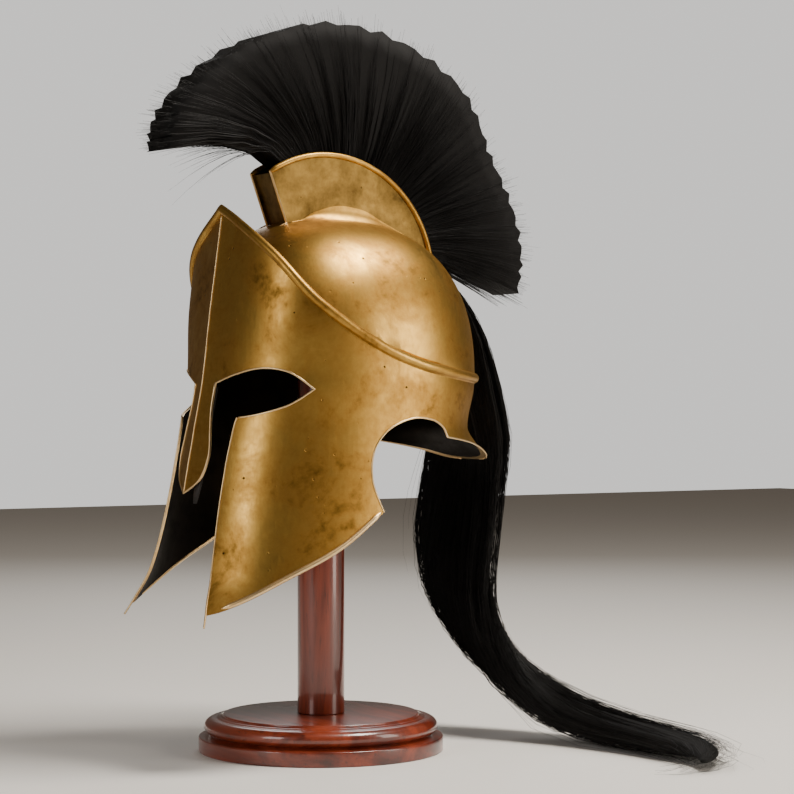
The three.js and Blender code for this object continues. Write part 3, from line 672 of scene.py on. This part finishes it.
# root turn, tip turn, tip radius, half thickness at the tip, lift
FAN_ROWS = np.array([
    (0, 113.5, 148.5, 184, 21, 34), (1, 108, 139, 199, 26, 30), (2, 97, 116, 210, 31, 24),
    (3, 75, 86, 218, 33, 18), (4, 52, 55, 215, 33, 14), (5, 35, 32, 197, 32, 14),
    (6, 20, 10, 200, 29, 14), (7, 10, -6, 196, 22, 14)], float)
FAN_ROOT = np.array([(8, 103), (15, 96), (26, 88), (125, 88)], float)
FAN_HALF_ROOT, FAN_HELD = 14.9, 0.24
CREST_HAIRS, CREST_COPIES, CREST_PIECES = 2350, 3, 2


def fan_point(share, rise, layer, reach=0.0, layer_tip=None):
    """Point of the fan: share along the crest, rise from root to tip, layer across (-1 to 1)."""
    root_turn, tip_turn, tip_radius, thick, lift = (
        sample(FAN_ROWS, column, share * 7) for column in (1, 2, 3, 4, 5))
    root_radius = sample(FAN_ROOT, 1, root_turn)
    root = crest_point(root_turn, root_radius)
    bend = crest_point(root_turn, CREST_RADIUS + lift)
    tip = crest_point(tip_turn, tip_radius + reach)
    spread = np.maximum(0, (rise - FAN_HELD) / (1 - FAN_HELD)) ** 1.1
    half = FAN_HALF_ROOT + (thick - FAN_HALF_ROOT) * spread
    y, z = ((1 - rise) ** 2 * root[axis] + 2 * rise * (1 - rise) * bend[axis]
            + rise ** 2 * tip[axis] for axis in (0, 1))
    across = layer if layer_tip is None else layer + (layer_tip - layer) * rise
    return np.stack([across * half, y, z], -1)


def hair_tree(name, copies, root_spread, tip_spread, thickness):
    """Geometry nodes: copy each guide hair, part the copies, end them anywhere, give thickness."""
    tree = bpy.data.node_groups.new(name, "GeometryNodeTree")
    tree.interface.new_socket("Guides", in_out="INPUT", socket_type="NodeSocketGeometry")
    for label, kind, value in (
            ("Copies", "NodeSocketInt", copies), ("Root spread", "NodeSocketFloat", root_spread),
            ("Tip spread", "NodeSocketFloat", tip_spread),
            ("Thickness", "NodeSocketFloat", thickness), ("Finish", "NodeSocketMaterial", None)):
        socket = tree.interface.new_socket(label, in_out="INPUT", socket_type=kind)
        if value is not None:
            socket.default_value = value
    tree.interface.new_socket("Hair", in_out="OUTPUT", socket_type="NodeSocketGeometry")
    given = node(tree, "NodeGroupInput").outputs
    guides = node(tree, "GeometryNodeMeshToCurve", {"Mesh": given["Guides"]})
    many = node(tree, "GeometryNodeDuplicateElements",
                {"Geometry": guides.outputs[0], "Amount": given["Copies"]}, domain="SPLINE")
    along = node(tree, "GeometryNodeSplineParameter").outputs["Factor"]
    chance = node(tree, "FunctionNodeRandomValue", data_type="FLOAT_VECTOR")
    chance.inputs["Min"].default_value = (-1, -1, -1)
    chance.inputs["Max"].default_value = (1, 1, 1)
    chance.inputs["Seed"].default_value = 41
    per_hair = node(tree, "GeometryNodeFieldOnDomain", data_type="FLOAT_VECTOR", domain="CURVE")
    tree.links.new(chance.outputs[0], per_hair.inputs[0])
    reach = node(tree, "ShaderNodeMapRange", {"Value": along, "To Min": given["Root spread"],
                                              "To Max": given["Tip spread"]})
    shift = node(tree, "ShaderNodeVectorMath", operation="SCALE")
    tree.links.new(per_hair.outputs[0], shift.inputs[0])
    tree.links.new(reach.outputs[0], shift.inputs["Scale"])
    parted = node(tree, "GeometryNodeSetPosition",
                  {"Geometry": many.outputs["Geometry"], "Offset": shift.outputs[0]})
    cut_chance = node(tree, "FunctionNodeRandomValue", data_type="FLOAT")
    cut_chance.inputs["Seed"].default_value = 7
    clip = node(tree, "GeometryNodeTrimCurve", {"Curve": parted.outputs[0]}, mode="FACTOR")
    tree.links.new(cut_chance.outputs[1], clip.inputs["End"])
    taper = node(tree, "ShaderNodeMapRange", {"Value": along},
                 From_Min=0.55, From_Max=1.0, To_Min=1.0, To_Max=0.3)
    half = node(tree, "ShaderNodeMath", {"Value": given["Thickness"]}, operation="MULTIPLY")
    half.inputs[1].default_value = 0.5
    section = node(tree, "GeometryNodeCurvePrimitiveCircle", {"Radius": half.outputs[0]},
                   Resolution=3)
    tubes = node(tree, "GeometryNodeCurveToMesh", {
        "Curve": clip.outputs[0], "Profile Curve": section.outputs[0],
        "Scale": taper.outputs[0]}, Fill_Caps=True)
    dyed = node(tree, "GeometryNodeSetMaterial", {
        "Geometry": tubes.outputs[0], "Material": given["Finish"]})
    smooth = node(tree, "GeometryNodeSetShadeSmooth", {"Geometry": dyed.outputs[0]})
    real = node(tree, "GeometryNodeRealizeInstances", {"Geometry": smooth.outputs[0]})
    tree.links.new(real.outputs[0], node(tree, "NodeGroupOutput").inputs["Hair"])
    return tree


def grow_hair(name, guides, tree, finish, copies):
    """Plain mesh of hairs from guide hairs, an array of (hair, point, xyz) in millimetres."""
    count, steps = guides.shape[:2]
    mesh = bpy.data.meshes.new(name)
    start = np.arange(count)[:, None] * steps + np.arange(steps - 1)
    edges = np.stack([start, start + 1], -1).reshape(-1, 2)
    mesh.from_pydata((guides.reshape(-1, 3) * MM).tolist(), edges.tolist(), [])
    mesh.update()
    made = bpy.data.objects.new(name, mesh)
    bpy.context.scene.collection.objects.link(made)
    grower = made.modifiers.new("grow", "NODES")
    grower.node_group = tree
    names = {item.name: item.identifier for item in tree.interface.items_tree}
    grower[names["Copies"]] = copies
    grower[names["Finish"]] = finish
    bpy.context.view_layer.update()
    grown = bpy.data.meshes.new_from_object(made.evaluated_get(
        bpy.context.evaluated_depsgraph_get()))
    made.modifiers.clear()
    made.data = grown
    bpy.data.meshes.remove(mesh)
    return made


def horsehair(name, tones, roughness):
    """Dyed horsehair, near black, with a dull brown-grey streak: random tone and painted sheen."""
    made, tree, out = material(name)
    spot = node(tree, "ShaderNodeTexCoord").outputs["Object"]
    # The brown-grey streaks are random tone and partly a painted sheen on the hairs.
    streak = node(tree, "ShaderNodeTexNoise", {"Vector": spot}, Scale=420.0, Detail=2.0)
    tone = node(tree, "ShaderNodeValToRGB", {"Fac": streak.outputs["Fac"]})
    tone.color_ramp.elements[0].position, tone.color_ramp.elements[0].color = 0.42, linear(tones[0])
    tone.color_ramp.elements[1].position, tone.color_ramp.elements[1].color = 0.72, linear(tones[1])
    hair = node(tree, "ShaderNodeBsdfPrincipled", {"Base Color": tone.outputs["Color"]},
                Roughness=roughness, Specular_IOR_Level=0.22)
    tree.links.new(hair.outputs[0], out.inputs["Surface"])
    return made


black_hair = horsehair("black_dyed_horsehair", ("#030202", "#0F0B0A"), 0.5)
pitch = horsehair("hair_held_in_pitch", ("#050404", "#0B0908"), 0.75)


def fan_core():
    """Dense middle of the fan, just inside the hairs, so that no light comes through."""
    shares = np.linspace(0.03, 0.97, 70)
    rises = np.linspace(0.02, 1, 12)
    rings = []
    for share in shares:
        clumps = 2.2 * math.cos(share * 60 * math.pi)
        sides = []
        for layer in (-1, 1):
            line = fan_point(np.full(12, share), rises, np.full(12, layer * 0.84), -13 + clumps)
            sides.append(line)
        rings.append(np.vstack([sides[0], sides[1][::-1]]))
    return loft(rings)


def loft(rings):
    """Closed skin through rings of points."""
    n = len(rings[0])
    points = np.vstack(rings)
    faces = []
    for i in range(len(rings) - 1):
        a, b = i * n, (i + 1) * n
        faces += [(a + k, a + (k + 1) % n, b + (k + 1) % n, b + k) for k in range(n)]
    faces += [tuple(range(n))[::-1], tuple(range(len(points) - n, len(points)))]
    return points, faces


points, faces = fan_core()
core = mesh_object("crest_hair_heart", points * MM, faces, [pitch])
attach(core, "root")
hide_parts("crest_hair")

tree = hair_tree("stiff_bristles", CREST_COPIES, 0.5 * MM, 2.6 * MM, 0.5 * MM)
for piece in range(CREST_PIECES):
    count = CREST_HAIRS
    share = np.clip(rng.uniform(-0.004, 1.004, count), 0, 1)
    layer = rng.uniform(0, 1, count) ** 0.55 * rng.choice((-1, 1), count)
    clump_share = np.round(share * 150 + rng.normal(0, 0.35, count)) / 150
    tip_share = np.clip(share + 0.5 * (clump_share - share) + rng.normal(0, 0.006, count), 0, 1)
    tip_layer = np.clip(layer + rng.normal(0, 0.10, count), -1.05, 1.05)
    reach = rng.normal(0.5, 2.2, count) - 5.0 * np.abs(tip_layer) ** 4
    steps = []
    for rise in np.linspace(0.12, 1, 5):
        here = share + (tip_share - share) * rise
        steps.append(fan_point(here, np.full(count, rise), layer * 0.97, reach, tip_layer))
    hairs = grow_hair(f"crest_hair_{piece + 1}", np.stack(steps, 1), tree, black_hair, CREST_COPIES)
    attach(hairs, "root")
    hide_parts("crest_hair")

# A few long hairs that the clippers missed: they droop in front and stand out round the edge.
STRAY_HAIRS = 190
share = np.where(np.arange(STRAY_HAIRS) < 70, rng.uniform(0, 0.08, STRAY_HAIRS),
                 rng.uniform(0, 1, STRAY_HAIRS))
layer = rng.uniform(-1, 1, STRAY_HAIRS)
droop = np.where(share < 0.08, rng.uniform(2, 34, STRAY_HAIRS), rng.normal(0, 4, STRAY_HAIRS))
reach = np.where(share < 0.08, rng.uniform(-34, 4, STRAY_HAIRS), rng.uniform(3, 11, STRAY_HAIRS))
lean = rng.normal(0, 0.02, STRAY_HAIRS)
steps = []
for rise in np.linspace(0.15, 1, 9):
    step = fan_point(np.clip(share + lean * rise, 0, 1), np.full(STRAY_HAIRS, rise), layer, reach)
    step[:, 2] -= droop * rise ** 2.6
    step[:, 0] += 160 * lean * rise ** 3
    steps.append(step)
stray_tree = hair_tree("single_hairs", 1, 0.0, 0.0, 0.34 * MM)
strays = grow_hair("crest_hair_strays", np.stack(steps, 1), stray_tree, black_hair, 1)
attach(strays, "root")

# ------------------------------------------------------------------ tail hair
# A long hank of the same horsehair, sewn in at the crest's back end. It hangs behind the nape and
# runs out along the table, where its ends curl back. Soft, so it lies in flat waves.
# x, y, z, half width, half thickness, turn of the width about the upright axis in degrees
TAIL_ROUTE = np.array([
    (0, 112, 387, 9, 4, 0), (0, 127, 368, 20, 7.5, 0), (-4, 141, 338, 31, 11, 0),
    (-12, 153, 300, 40, 14, 0), (-26, 167, 262, 46, 15, 5), (-38, 171, 230, 50, 16, 10),
    (-41, 165, 188, 50, 17, 12), (-36, 158, 140, 45, 18, 8), (-16, 162, 94, 38, 18, -6),
    (17, 178, 53, 33, 17, -30), (62, 197, 25, 30, 16, -62), (118, 211, 14.5, 29, 13, -82),
    (172, 218, 12, 28, 10.8, -92), (222, 215, 10, 25, 9, -105), (256, 193, 8, 18, 7, -140),
    (263, 160, 6, 9, 5, -175), (250, 138, 4, 3, 2.5, -200)], float)
TAIL_STEPS = 20
TAIL_HAIRS, TAIL_COPIES, TAIL_PIECES = 530, 3, 2
TABLE_GAP = 0.5
tail_rng = np.random.default_rng(480)


def tail_frames(count):
    """Middle line of the hank with its width and thickness directions and half sizes."""
    middle = smooth_curve(TAIL_ROUTE[:, :3], count)
    spots = np.linspace(0, len(TAIL_ROUTE) - 1, count)
    rows = np.column_stack([np.arange(len(TAIL_ROUTE)), TAIL_ROUTE])
    wide_size, thick_size, turn = (sample(rows, column, spots) for column in (4, 5, 6))
    along = unit(np.gradient(middle, axis=0))
    turn = np.radians(turn)
    wide = np.stack([np.cos(turn), np.sin(turn), np.zeros(count)], -1)
    wide = unit(wide - along * np.sum(wide * along, -1, keepdims=True))
    thick = np.cross(along, wide)
    return middle, wide * wide_size[:, None], thick * thick_size[:, None], unit(wide), unit(thick)


def tail_core():
    middle, wide, thick, _, _ = tail_frames(120)
    angles = np.linspace(0, 2 * math.pi, 28, endpoint=False)
    rings = []
    for i in range(2, 106):
        lock = 1 + 0.05 * np.cos(6 * angles + i * 0.12)
        fade = 0.80 * min(1, (106 - i) / 16 + 0.15)
        ring = (middle[i] + wide[i] * (fade * lock * np.cos(angles))[:, None]
                + thick[i] * (fade * lock * np.sin(angles))[:, None])
        ring[:, 2] = np.maximum(ring[:, 2], TABLE_GAP)
        rings.append(ring)
    return loft(rings)


points, faces = tail_core()
core = mesh_object("tail_hair_heart", points * MM, faces, [pitch])
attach(core, "root")
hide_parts("tail_hair")

silky_hair = horsehair("black_combed_horsehair", ("#030202", "#0E0B09"), 0.44)
tail_tree = hair_tree("combed_hank", TAIL_COPIES, 0.6 * MM, 2.2 * MM, 0.55 * MM)


def tail_hairs(count, wild, length_low):
    """Guide hairs along the hank: each keeps its place in it, in clumps that wave together."""
    middle, wide, thick, wide_unit, thick_unit = tail_frames(120)
    angle = tail_rng.uniform(0, 2 * math.pi, count)
    depth = tail_rng.uniform(0, 1, count) ** 0.3
    clumps = tail_rng.integers(0, 34, count)
    clump_angle = np.linspace(0, 2 * math.pi, 34, endpoint=False)[clumps]
    off = (angle - clump_angle + math.pi) % (2 * math.pi) - math.pi
    angle = clump_angle + np.where(np.abs(off) < 0.5, off * 0.45, off * 0.02) + \
        tail_rng.normal(0, 0.06, count)
    phase = (clump_angle * 3.1 + tail_rng.normal(0, 0.35, count))
    length = tail_rng.uniform(length_low, 1.0, count) ** 0.7
    fray = tail_rng.normal(0, 1, (count, 2)) * wild
    steps = []
    for share in np.linspace(0.0, 1, TAIL_STEPS):
        at = share * length * 119
        i = np.minimum(at.astype(int), 118)
        t = (at - i)[:, None]

        def here(row):
            return row[i] * (1 - t) + row[i + 1] * t

        wave = 0.08 * np.sin(phase + at / 119 * 15) * np.clip(at / 30, 0, 1)
        swing = angle + 0.35 * np.sin(at / 119 * 5 + phase * 0.5)
        size = depth * (1 + wave)
        step = (here(middle) + here(wide) * (size * np.cos(swing))[:, None]
                + here(thick) * (size * np.sin(swing))[:, None])
        loose = (at / 119)[:, None] ** 2.5
        step += here(wide_unit) * (fray[:, :1] * 7 * loose) + here(thick_unit) * (
            fray[:, 1:] * 4 * loose)
        step[:, 2] = np.maximum(step[:, 2], TABLE_GAP + 2.2 + 0.5 * depth)
        steps.append(step)
    return np.stack(steps, 1)


for piece in range(TAIL_PIECES):
    guides = tail_hairs(TAIL_HAIRS, 1.0, 0.62)
    hairs = grow_hair(f"tail_hair_{piece + 1}", guides, tail_tree, silky_hair, TAIL_COPIES)
    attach(hairs, "root")
    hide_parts("tail_hair")

guides = tail_hairs(170, 2.6, 0.35)
middle = guides.mean(0)
guides += (guides - middle) * 0.10
guides[:, :, 2] = np.maximum(guides[:, :, 2], TABLE_GAP + 0.3)
strays = grow_hair("tail_hair_strays", guides, stray_tree, silky_hair, 1)
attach(strays, "root")

# ------------------------------------------------------------------ liner strap
# The end of a leather liner strip hangs behind the nasal: cut to a point, edges dyed black.
STRAP_X, STRAP_HALF, STRAP_THICK, STRAP_TOP, STRAP_BOTTOM = 11, 4.5, 2, 296, 204


def strap_rings():
    rings = []
    for share in np.linspace(0, 1, 40):
        z = STRAP_TOP + (STRAP_BOTTOM - STRAP_TOP) * share
        narrow = 1 - 0.75 * max(0, (share - 0.82) / 0.18) ** 1.3
        ring = []
        for across, depth in ((1, 0.25), (0.86, 0), (-0.86, 0), (-1, 0.25), (-1, 0.75),
                              (-0.86, 1), (0.86, 1), (1, 0.75)):
            x = STRAP_X + across * STRAP_HALF * narrow
            wall = mask_point(np.array([math.atan2(STRAP_X, 112)]), np.array([z]))[0, 1]
            wall += 0.12 * (x - STRAP_X)
            ring.append((x, wall + SHEET + 1.2 + depth * STRAP_THICK, z))
        rings.append(np.array(ring)[::-1])
    return rings


dyed_leather, tree, out = material("black_vegetable_tanned_leather")
spot = node(tree, "ShaderNodeTexCoord").outputs["Object"]
# Pores about 0.7 mm apart and creases about 4 mm apart.
pores = node(tree, "ShaderNodeTexVoronoi", {"Vector": spot}, Scale=1500.0)
creases = node(tree, "ShaderNodeTexNoise", {"Vector": spot}, Scale=260.0, Detail=4.0)
shade = node(tree, "ShaderNodeValToRGB", {"Fac": creases.outputs["Fac"]})
shade.color_ramp.elements[0].position, shade.color_ramp.elements[0].color = 0.35, linear("#0C0907")
shade.color_ramp.elements[1].position, shade.color_ramp.elements[1].color = 0.7, linear("#241C17")
relief = node(tree, "ShaderNodeBump", {"Height": pores.outputs["Distance"]}, Strength=0.5,
              Distance=0.0002)
hide = node(tree, "ShaderNodeBsdfPrincipled", {"Base Color": shade.outputs["Color"],
                                               "Normal": relief.outputs[0]}, Roughness=0.62)
tree.links.new(hide.outputs[0], out.inputs["Surface"])
points, faces = loft(strap_rings())
strap = mesh_object("leather_liner_strip", points * MM, faces, [dyed_leather])
strap.data.set_sharp_from_angle(angle=math.radians(50))
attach(strap, "root")
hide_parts("liner_strap")

# ------------------------------------------------------------------ wooden stand
# Turned hardwood, stained red-brown and varnished glossy: a moulded disc with a torus, a straight
# dowel glued into it, and a plain rounded head that carries the crown.
PLINTH, PLINTH_TOP, TORUS, DISC, BASE_TOP = 100, 12.5, 95.5, 80, 30
POST_RADIUS, POST_FOOT, POST_TOP = 19.2, 30.3, 402
HEAD_RADIUS, HEAD_LOW, HEAD_ROUND = 46, 402.3, 3


def varnished_wood(name, across, along):
    """Stained wood under gloss varnish; across and along scale the grain in each direction."""
    made, tree, out = material(name)
    spot = node(tree, "ShaderNodeTexCoord").outputs["Object"]
    placed = node(tree, "ShaderNodeMapping", {"Vector": spot}, Scale=along)
    rings = node(tree, "ShaderNodeTexNoise", {"Vector": placed.outputs[0]}, Scale=across,
                 Detail=6.0, Roughness=0.6, Distortion=0.6)
    pores = node(tree, "ShaderNodeTexNoise", {"Vector": placed.outputs[0]}, Scale=across * 9,
                 Detail=3.0, Roughness=0.7)
    tone = node(tree, "ShaderNodeValToRGB", {"Fac": rings.outputs["Fac"]})
    ramp = tone.color_ramp
    ramp.elements[0].position, ramp.elements[0].color = 0.32, linear("#2A0C07")
    ramp.elements[1].position, ramp.elements[1].color = 0.68, linear("#8E3A20")
    ramp.elements.new(0.5).color = linear("#64220F")
    streak = node(tree, "ShaderNodeMapRange", {"Value": pores.outputs["Fac"]},
                  From_Min=0.56, From_Max=0.70, To_Min=0.0, To_Max=0.6)
    colour = node(tree, "ShaderNodeMix", {"Factor": streak.outputs[0]}, data_type="RGBA")
    tree.links.new(tone.outputs["Color"], colour.inputs["A"])
    colour.inputs["B"].default_value = linear("#1E0805")
    grain = node(tree, "ShaderNodeBump", {"Height": pores.outputs["Fac"]}, Strength=0.15,
                 Distance=0.0002)
    wood = node(tree, "ShaderNodeBsdfPrincipled", {
        "Base Color": colour.outputs["Result"], "Normal": grain.outputs[0]}, Roughness=0.34,
        Coat_Weight=0.8, Coat_Roughness=0.08)
    tree.links.new(wood.outputs[0], out.inputs["Surface"])
    return made


def lathe(profile, segments=128):
    """Closed turned solid from (radius, height) points that start and end on the axis."""
    turns = np.linspace(0, 2 * math.pi, segments, endpoint=False)
    rings = [np.stack([r * np.cos(turns), r * np.sin(turns), np.full(segments, z)], -1)
             for r, z in profile[1:-1]]
    points = np.vstack(rings + [[(0, 0, profile[0][1])], [(0, 0, profile[-1][1])]])
    last = len(points) - 1
    faces = []
    for i in range(len(rings) - 1):
        a, b = i * segments, (i + 1) * segments
        faces += [(a + k, a + (k + 1) % segments, b + (k + 1) % segments, b + k)
                  for k in range(segments)]
    end = (len(rings) - 1) * segments
    faces += [(last - 1, (k + 1) % segments, k) for k in range(segments)]
    faces += [(last, end + k, end + (k + 1) % segments) for k in range(segments)]
    return points, faces


def arc(centre_r, centre_z, reach_r, reach_z, start, end, count):
    turns = np.radians(np.linspace(start, end, count))
    return [(centre_r + reach_r * math.cos(t), centre_z + reach_z * math.sin(t)) for t in turns]


base_wood = varnished_wood("varnished_stained_wood_disc", 34.0, (0.12, 1.0, 1.0))
base_profile = [(0, 0)] + arc(PLINTH - 1.2, 1.2, 1.2, 1.2, -90, 0, 5) + \
    arc(PLINTH - 1.2, PLINTH_TOP - 1.6, 1.2, 1.2, 0, 90, 6) + \
    [(TORUS + 1.5, PLINTH_TOP), (TORUS - 2.2, PLINTH_TOP + 0.3)] + \
    arc(TORUS - 8, 20.2, 8, 6.6, -66, 90, 22) + [(85.6, 26.9), (84.4, 27.0), (83.6, 27.6)] + \
    arc(DISC + 2.2, 29.1, 1.2, 1.2, -90, -180, 4)[:3] + arc(DISC - 1, BASE_TOP - 1, 1, 1, 0, 90, 5) + \
    [(0, BASE_TOP)]
points, faces = lathe(base_profile)
base = mesh_object("turned_base", points * MM, faces, [base_wood])
base.data.set_sharp_from_angle(angle=math.radians(38))
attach(base, "root")
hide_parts("stand_base")

post_wood = varnished_wood("varnished_stained_wood_dowel", 60.0, (1.0, 1.0, 0.07))
post_profile = [(0, POST_FOOT)] + arc(POST_RADIUS - 0.6, POST_FOOT + 0.6, 0.6, 0.6, -90, 0, 4) + \
    [(POST_RADIUS, POST_FOOT + (POST_TOP - POST_FOOT) * k / 8) for k in range(1, 8)] + \
    arc(POST_RADIUS - 0.6, POST_TOP - 0.6, 0.6, 0.6, 0, 90, 4) + [(0, POST_TOP)]
points, faces = lathe(post_profile, 96)
post = mesh_object("turned_post", points * MM, faces, [post_wood])
post.data.set_sharp_from_angle(angle=math.radians(38))
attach(post, "root")
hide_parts("stand_post")

inner = SHEET + 0.7
head_profile = [(0, HEAD_LOW)] + arc(HEAD_RADIUS - HEAD_ROUND, HEAD_LOW + HEAD_ROUND, HEAD_ROUND,
                                     HEAD_ROUND, -90, 0, 6)
for radius in np.linspace(HEAD_RADIUS, 0, 18):
    level = radius / (DOME["side"] - inner)
    height = DOME["foot"] + (DOME["height"] - inner) * (1 - level ** DOME["profile"]) ** (
        1 / DOME["profile"])
    head_profile.append((max(0, radius - 0.6), height - 1.0))
points, faces = lathe(head_profile, 96)
head = mesh_object("turned_head", points * MM, faces, [base_wood])
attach(head, "root")
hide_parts("stand_head")
